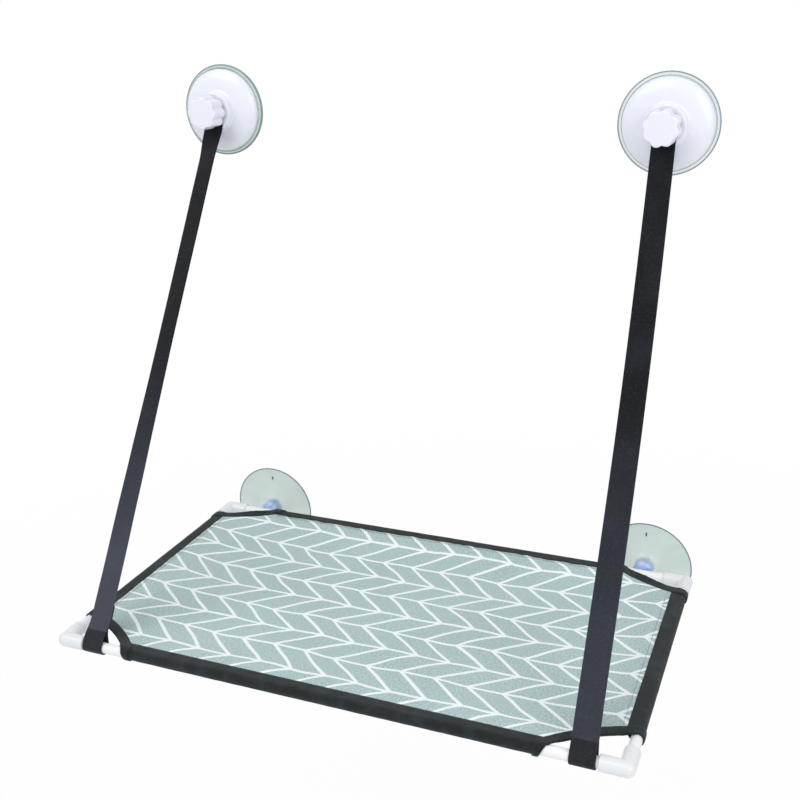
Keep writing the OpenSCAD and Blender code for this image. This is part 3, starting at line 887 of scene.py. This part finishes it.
def strap_route(node):
    """The strap's middle line as (y, z, share of the run) from the tab's top, down the run,
    round the front tube and up to the end of the sewn tail. It comes with the stud's height and
    the share of the run at which the loop is sewn."""
    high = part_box(node)[1]
    rise = high.z - TAB_ABOVE
    tab_y = high.y - STRAP_T / 2
    bend = (tab_y - FRONT_Y, rise - TAB_BELOW)
    angle = atan2(bend[1], bend[0]) - asin(LOOP_R / hypot(*bend))
    run = sqrt(hypot(*bend) ** 2 - LOOP_R ** 2)
    sewn = (LOOP_REACH - 1 * MM) / run
    lean = (atan2(LOOP_R, LOOP_REACH)
            - acos(LOOP_R / hypot(LOOP_REACH, LOOP_R)))
    tab_steps, bend_steps, run_steps, loop_steps, leg_steps, tail_steps = 8, 6, 110, 28, 8, 10
    round_off = 4 * MM

    def turned(s, n):
        return (FRONT_Y + s * cos(angle) - n * sin(angle),
                s * sin(angle) + n * cos(angle))
    tab_l = TAB_ABOVE + TAB_BELOW - round_off
    route = [(tab_y, rise + TAB_ABOVE - tab_l * i / tab_steps, 1.0)
             for i in range(tab_steps + 1)]
    corner = (tab_y, rise - TAB_BELOW)
    above, below = (tab_y, rise - TAB_BELOW + round_off), turned(run - round_off, LOOP_R)
    for i in range(1, bend_steps):
        t = i / bend_steps
        route.append(between(between(above, corner, t), between(corner, below, t), t) + (1.0,))
    for i in range(run_steps + 1):
        s = (run - round_off) * (1 - i / run_steps)
        route.append(turned(s, LOOP_R - sewn_dip(s)) + (s / run,))
    for i in range(1, loop_steps + 1):
        a = pi / 2 + (2 * pi + lean - pi / 2) * i / loop_steps
        route.append(turned(LOOP_R * cos(a), LOOP_R * sin(a)) + (0.0,))
    first = (LOOP_R * cos(lean), LOOP_R * sin(lean))
    last = (LOOP_REACH + 1 * MM, LOOP_R - STRAP_T - 0.9 * MM)
    for i in range(1, leg_steps + 1):
        route.append(turned(*between(first, last, i / leg_steps)) + (0.0,))
    for i in range(1, tail_steps + 1):
        s = last[0] + TAIL_L * i / tail_steps
        route.append(turned(s, LOOP_R - STRAP_T - sewn_dip(s)) + (0.0,))
    return route, rise, sewn


def webbing_section():
    """The webbing's outline as (across, side): flat faces and rounded edges."""
    half_w, round_off, flat_steps = STRAP_W / 2, 0.35 * MM, 8
    flat = [half_w * k / flat_steps for k in range(flat_steps - 1, -flat_steps, -1)]
    edge = [(half_w, 0.45), (half_w - round_off, 0.9)]
    upper = edge + [(w, 1.0) for w in flat] + [(-w, t) for w, t in edge[::-1]]
    return upper + [(-w, -t) for w, t in upper]


def make_strap(word, foot_x, top_x, bow, loop_step, twists):
    """A strap of webbing with rounded edges, wrapped round the front tube and sewn to itself.
    bow is how far its middle lies to the right of a straight run, and loop_step how far its loop
    lies to the right of the run. twists gives (share of the run, degrees) by which it turns
    about its own length."""
    node = f"strap_{word}"
    route, rise, sewn = strap_route(node)
    bend_z, tab_y = rise - TAB_BELOW, route[0][0]

    def lean_x(z):
        share = clamp(z / bend_z)
        stepped = loop_step * (1 - ease(clamp((z - 8 * MM) / (22 * MM))))
        return foot_x + (top_x - foot_x) * share + bow * sin(pi * share) + stepped

    def twist(share):
        (s0, a0), (s1, a1) = next(pair for pair in zip(twists, twists[1:])
                                  if share <= pair[1][0])
        return radians(a0 + (a1 - a0) * ease((share - s0) / (s1 - s0)))
    section = webbing_section()
    points, uvs = [], []
    walked = [0.0]
    for a, b in zip(route, route[1:]):
        walked.append(walked[-1] + dist(a[:2], b[:2]))
    sewn_at = next(w for w, spot in zip(walked, route) if spot[2] <= sewn)
    for i, (y, z, share) in enumerate(route):
        before = route[max(i - 1, 0)]
        after = route[min(i + 1, len(route) - 1)]
        along = Vector((0, after[0] - before[0], after[1] - before[1])).normalized()
        measured = walked[i] - sewn_at
        side = Vector((1, 0, 0))
        face = along.cross(side)
        a = twist(share)
        across = side * cos(a) - face * sin(a)
        out = face * cos(a) + side * sin(a)
        wave = rough(measured / (60 * MM), foot_x * 10) * 0.35 * MM
        hub = Vector((lean_x(z), y, z)) + out * (wave if 0.02 < share < 0.98 else 0)
        hollowed = 0.25 * MM if 0.05 < share < 0.95 else 0
        for w, t in section:
            sunk = hollowed * (2 * w / STRAP_W) ** 2
            points.append(hub + across * w + out * (STRAP_T / 2 * t - sunk))
            uvs.append((w, measured))
    rings, around = len(route), len(section)
    faces = [f[::-1] for f in strip_faces(rings, around) + end_caps(rings, around)]
    piece = add_mesh(f"webbing_{word}", points, faces, WEBBING[word], uvs)
    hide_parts(node)
    top = Vector((lean_x(bend_z), tab_y, bend_z))
    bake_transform(piece)
    return piece


def make_straps():
    """Both straps as they hang in the photograph."""
    shapes = {
        "left": {"bow": 0, "loop_step": -3.6 * MM,
                 "twists": [(0.0, 0), (0.15, -3), (0.6, -16.5), (0.93, -15), (1.0, 0)]},
        "right": {"bow": 3.2 * MM, "loop_step": 0, "twists": [(0.0, 0), (1.0, 0)]}}
    foot_shift = 1.7 * MM
    for side, word in SIDES:
        foot_x = side * (SIDE_X - STRAP_IN) + foot_shift
        make_strap(word, foot_x, middle(f"upper_disc_{word}").x, **shapes[word])


make_straps()


# Suction cups, covers and knobs

CUP_R = 53 * MM
CONTACT_W = 9 * MM


def hollow(outer_r, depth):
    """Points of the shallow hollow under a cup, from its axis to the ring that touches the pane."""
    reach, steps = outer_r - CONTACT_W, 8
    return [(reach * i / steps, depth * (1 - (i / steps) ** 2)) for i in range(steps + 1)]


def turned_box(node):
    """The centre of a CAD node that is turned on an axis square to the pane, its radius, and how
    far from the pane it starts and ends."""
    low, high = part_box(node)
    return (low + high) / 2, (high.x - low.x) / 2, -high.y, -low.y


def make_lower_cup(word):
    """A clear cup whose flared hub ends in a neck and a head inside the drilled tube."""
    node = f"lower_cup_{word}"
    centre, _, _, head_top = turned_box(node)
    edge_t, lip_r, hub_r, neck_r, head_r = 1.6 * MM, 0.6 * MM, 8 * MM, 3 * MM, 4.1 * MM
    gap, hub_round, head_round = 0.3 * MM, 0.8 * MM, 0.4 * MM
    steps, flare_power = 26, 3.5
    hub_top, head_low = -REAR_Y - TUBE_R - gap, -REAR_Y + TUBE_R + gap
    profile = hollow(CUP_R, 3.5 * MM) + [(CUP_R - 0.5 * MM, 0.0)]
    profile += arc((CUP_R - lip_r, edge_t / 2), lip_r, -60, 60, 5)
    flare_r = CUP_R - edge_t / 2
    for i in range(1, steps):
        t = i / steps
        profile.append((flare_r - (flare_r - hub_r) * t,
                        edge_t + (hub_top - edge_t) * t ** flare_power))
    profile += arc((hub_r - hub_round, hub_top - hub_round), hub_round, 0, 90, 4)
    profile += [(neck_r + 0.6 * MM, hub_top), (neck_r, hub_top + 0.5 * MM),
                (neck_r, head_low - 0.2 * MM), (neck_r + 0.3 * MM, head_low),
                (head_r - head_round, head_low), (head_r, head_low + head_round)]
    for angle in range(15, 90, 15):
        a = radians(angle)
        profile.append((head_r * cos(a), head_low + head_round
                        + (head_top - head_low - head_round) * sin(a)))
    profile.append((0, head_top))
    # The outline's dark colour is painted shade, and the hub's blue is painted refracted light.
    tints = paint(166, 196, 186), paint(88, 106, 140), paint(112, 146, 218)
    material = clear_rubber(f"clear cup {word}", centre, CUP_R, tints, 0.42, [])
    cup = turned_piece(f"clear_cup_{word}", profile, centre, material, 120)
    fitted(cup, f"lower_{word}", node)


def make_cup_mark(word):
    """The small raised mark near a lower cup's top edge."""
    out, half_w, length, lift, height = 1.75 * MM, 1.0 * MM, 5 * MM, 1.0 * MM, 40 * MM
    side = [(1.0, 0.0), (0.8, 0.7), (0.3, 1.0)]
    ring = side + [(-w, up) for w, up in side[::-1]]
    stations = ((0.0, 0.3), (0.12, 0.85), (0.5, 1.0), (0.88, 0.85), (1.0, 0.3))
    points = []
    for t, size in stations:
        for w, up in ring:
            points.append((middle(f"lower_cup_{word}").x + half_w * w * size,
                           -out - lift * up * size, height - length / 2 + length * t))
    faces = strip_faces(len(stations), len(ring)) + end_caps(len(stations), len(ring))
    mark = add_mesh(f"cup_mark_{word}", points, [f[::-1] for f in faces], CUP_MARK)
    fitted(mark, f"lower_{word}")


def make_upper_disc(word):
    """The clear disc that a cover presses to the pane, with its rounded lip."""
    node = f"upper_disc_{word}"
    centre, disc_r, _, hub_top = turned_box(node)
    lip_t, lip_in, seat = 3.4 * MM, disc_r - 4.6 * MM, 2.5 * MM
    hub_r, lip_round, inner_round, hub_round = 11.5 * MM, 1.1 * MM, 0.6 * MM, 0.5 * MM
    foot = 1 * MM
    profile = hollow(disc_r, 1.2 * MM) + [(disc_r - inner_round, 0.0), (disc_r, inner_round)]
    profile += arc((disc_r - lip_round, lip_t - lip_round), lip_round, 0, 90, 6)
    profile += arc((lip_in + inner_round, lip_t - inner_round), inner_round, 90, 180, 4)
    profile += [(lip_in, seat), (hub_r + foot, seat), (hub_r, seat + foot),
                (hub_r, hub_top - hub_round), (hub_r - hub_round, hub_top), (0, hub_top)]
    # Both discs are one plastic: the left is tinted darker and less clear, the right paler and
    # clearer, as painted shade and light. The left's pale ring on the lip is a painted highlight,
    # and the right's dark ring at the lip's inner edge is painted shade.
    if word == "left":
        tints = paint(146, 176, 164), paint(112, 142, 134), paint(150, 170, 190)
        clearness, lines = 0.62, [(lip_in + 2.2 * MM, 0.5 * MM, -0.75)]
    else:
        tints = paint(196, 218, 218), paint(104, 128, 142), paint(150, 170, 190)
        clearness, lines = 0.26, [(lip_in + 0.5 * MM, 0.35 * MM, 0.8)]
    material = clear_rubber(f"clear disc {word}", centre, disc_r, tints, clearness, lines,
                            lip_in)
    disc = turned_piece(f"clear_disc_{word}", profile, centre, material, 128)
    fitted(disc, f"upper_{word}", node)


def make_cover(word):
    """The white domed cover: straight edge, dome, fillet and hollow boss."""
    node = f"cup_cover_{word}"
    centre, outer_r, rim, front = turned_box(node)
    wall, boss_r, fillet, dome_h, edge_h = 2.2 * MM, 21 * MM, 3 * MM, 10 * MM, 2.5 * MM
    rim_round, boss_round, bore_round, over_disc = 0.3 * MM, 1.5 * MM, 0.5 * MM, 0.1 * MM
    bore, post_r, post_l, dome_steps, inner_steps = 4.2 * MM, 7 * MM, 12 * MM, 22, 10
    seat = rim + over_disc
    low, dome_in, post_low = seat + edge_h, boss_r + fillet, front - post_l

    def dome(radius, base, share):
        a = pi / 2 * share
        return dome_in + (radius - dome_in) * cos(a), base + dome_h * sin(a)
    profile = [(outer_r - rim_round, seat), (outer_r, seat + 0.4 * MM)]
    profile += [dome(outer_r, low, i / dome_steps) for i in range(dome_steps + 1)]
    profile += arc((dome_in, low + dome_h + fillet), fillet, 270, 180, 8)[1:]
    profile += arc((boss_r - boss_round, front - boss_round), boss_round, 0, 90, 7)
    profile += [(bore + bore_round, front), (bore, front - bore_round), (bore, post_low),
                (post_r, post_low), (post_r, front - wall), (boss_r - wall, front - wall),
                (boss_r - wall, low + dome_h - wall)]
    profile += [dome(outer_r - wall, low - wall, i / inner_steps)
                for i in range(inner_steps, -1, -1)]
    profile.append((outer_r - wall, seat))
    cover = turned_piece(f"cover_shell_{word}", profile, centre, WHITE, 128)
    fitted(cover, f"upper_{word}", node)


def make_knob(word, turn):
    """A knob with soft finger lobes, a rounded front and a bore for its insert."""
    node = f"knob_{word}"
    centre, knob_r, near, far = turned_box(node)
    lobes, depth, edge, draft, foot = 8, 3.2 * MM, 2.2 * MM, 0.4 * MM, 0.6 * MM
    bore, bore_l, stud_r, front_wall = 7.02 * MM, 15 * MM, 4.5 * MM, 2.5 * MM
    steps, wall_steps = 160, 6
    bore_end = near + bore_l
    # Rings from the bore's end out and over the knob: radius, distance from pane, share of lobes
    rings = [(1 * MM, far - front_wall, 0.0), (stud_r, far - front_wall, 0.0),
             (stud_r, bore_end, 0.0), (bore, bore_end, 0.0), (bore, near, 0.0),
             (knob_r - foot, near, 1.0), (knob_r, near + foot, 1.0)]
    for i in range(1, wall_steps):
        t = i / wall_steps
        rings.append((knob_r - draft * t, near + (far - edge - near) * t, 1.0))
    for r, out in arc((knob_r - draft - edge, far - edge), edge, 0, 90, 7):
        rings.append((r, out, 1.0 - 0.45 * (out - far + edge) / edge))
    rings += [(knob_r - 4.6 * MM, far, 0.3), (knob_r - 7 * MM, far, 0.1), (2 * MM, far, 0.0)]
    points = []
    for radius, out, lobed in rings:
        for i in range(steps):
            a = 2 * pi * i / steps
            lobe = abs(cos((lobes * a + turn) / 2))
            r = radius - depth * lobed * (1 - sqrt(lobe * lobe + 0.02))
            points.append((centre.x + r * cos(a), -out, centre.z + r * sin(a)))
    faces = strip_faces(len(rings), steps) + end_caps(len(rings), steps)
    knob = add_mesh(f"lobed_knob_{word}", points, faces, WHITE)
    fitted(knob, f"grip_{word}", node)


def dress_cad_nodes():
    """Finishes for the CAD pieces that show as they are."""
    finishes = {"rail": TUBE, "elbow": ELBOW_WHITE, "stud": STEEL, "washer": STEEL,
                "knob_insert": BRASS}
    for name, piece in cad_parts.items():
        if piece.hide_render:
            continue
        for word, material in finishes.items():
            if word in name:
                piece.data.materials.clear()
                piece.data.materials.append(material)


for hand, phase in (("left", 0.4), ("right", 2.1)):
    make_lower_cup(hand)
    make_cup_mark(hand)
    make_upper_disc(hand)
    make_cover(hand)
    make_knob(hand, phase)
dress_cad_nodes()


# Floor, backdrop and light

def pale_world():
    """White to the camera and in reflections, and a soft even light on the object."""
    world = bpy.data.worlds.new("studio")
    bpy.context.scene.world = world
    world.use_nodes = True
    world.node_tree.nodes.clear()
    shading = Shading(world.node_tree)
    rays = [shading.node("ShaderNodeLightPath", out=f"Is {kind} Ray")
            for kind in ("Camera", "Glossy", "Transmission")]
    seen = rays[0].at_least(rays[1]).at_least(rays[2])
    soft = shading.node("ShaderNodeBackground", {},
                        {"Color": (0.97, 0.98, 1.0, 1), "Strength": 0.68})
    white = shading.node("ShaderNodeBackground", {}, {"Color": (1, 1, 1, 1), "Strength": 1.0})
    output = world.node_tree.nodes.new("ShaderNodeOutputWorld")
    shading.plug(output.inputs["Surface"], shading.blend(seen, soft, white))


def soft_lamp(name, place, size, watts):
    """A round lamp that points at the perch."""
    aim = Vector((0, -0.15, 0.2))
    data = bpy.data.lights.new(name, "AREA")
    data.shape = "DISK"
    data.size = size
    data.energy = watts
    lamp = bpy.data.objects.new(name, data)
    lamp.location = place
    lamp.rotation_euler = (aim - Vector(place)).to_track_quat("-Z", "Y").to_euler()
    bpy.context.scene.collection.objects.link(lamp)


def pale_floor():
    """A white floor well below the perch, which keeps its soft shadow."""
    size, height = 6.0, -0.45
    corners = [(x * size, y * size, height) for x, y in ((-1, -1), (1, -1), (1, 1), (-1, 1))]
    finish = Finish("pale floor", roughness=0.9)
    tone = finish.cloud(scale=3)
    finish.varies(base_color=finish.mix((0.93, 0.93, 0.93, 1), (0.96, 0.96, 0.96, 1), tone))
    x, y, _ = finish.split(finish.place())
    near = (x * x + y * y).root().below(1.3, 0.7)
    seen = finish.node("ShaderNodeLightPath") * (1 - near * 0.06)
    glow = finish.node("ShaderNodeEmission")
    lit = Value(finish, finish.shader.outputs[0])
    output = finish.tree.nodes["Material Output"]
    finish.plug(output.inputs["Surface"], finish.blend(seen, lit, glow))
    add_mesh("floor", corners, [(0, 1, 2, 3)], finish.material)


pale_world()
pale_floor()
soft_lamp("key", (-0.9, -1.4, 2.4), 2.4, 27)
soft_lamp("fill", (1.7, -1.3, 1.1), 1.8, 14)
bpy.context.scene.view_settings.view_transform = "Standard"
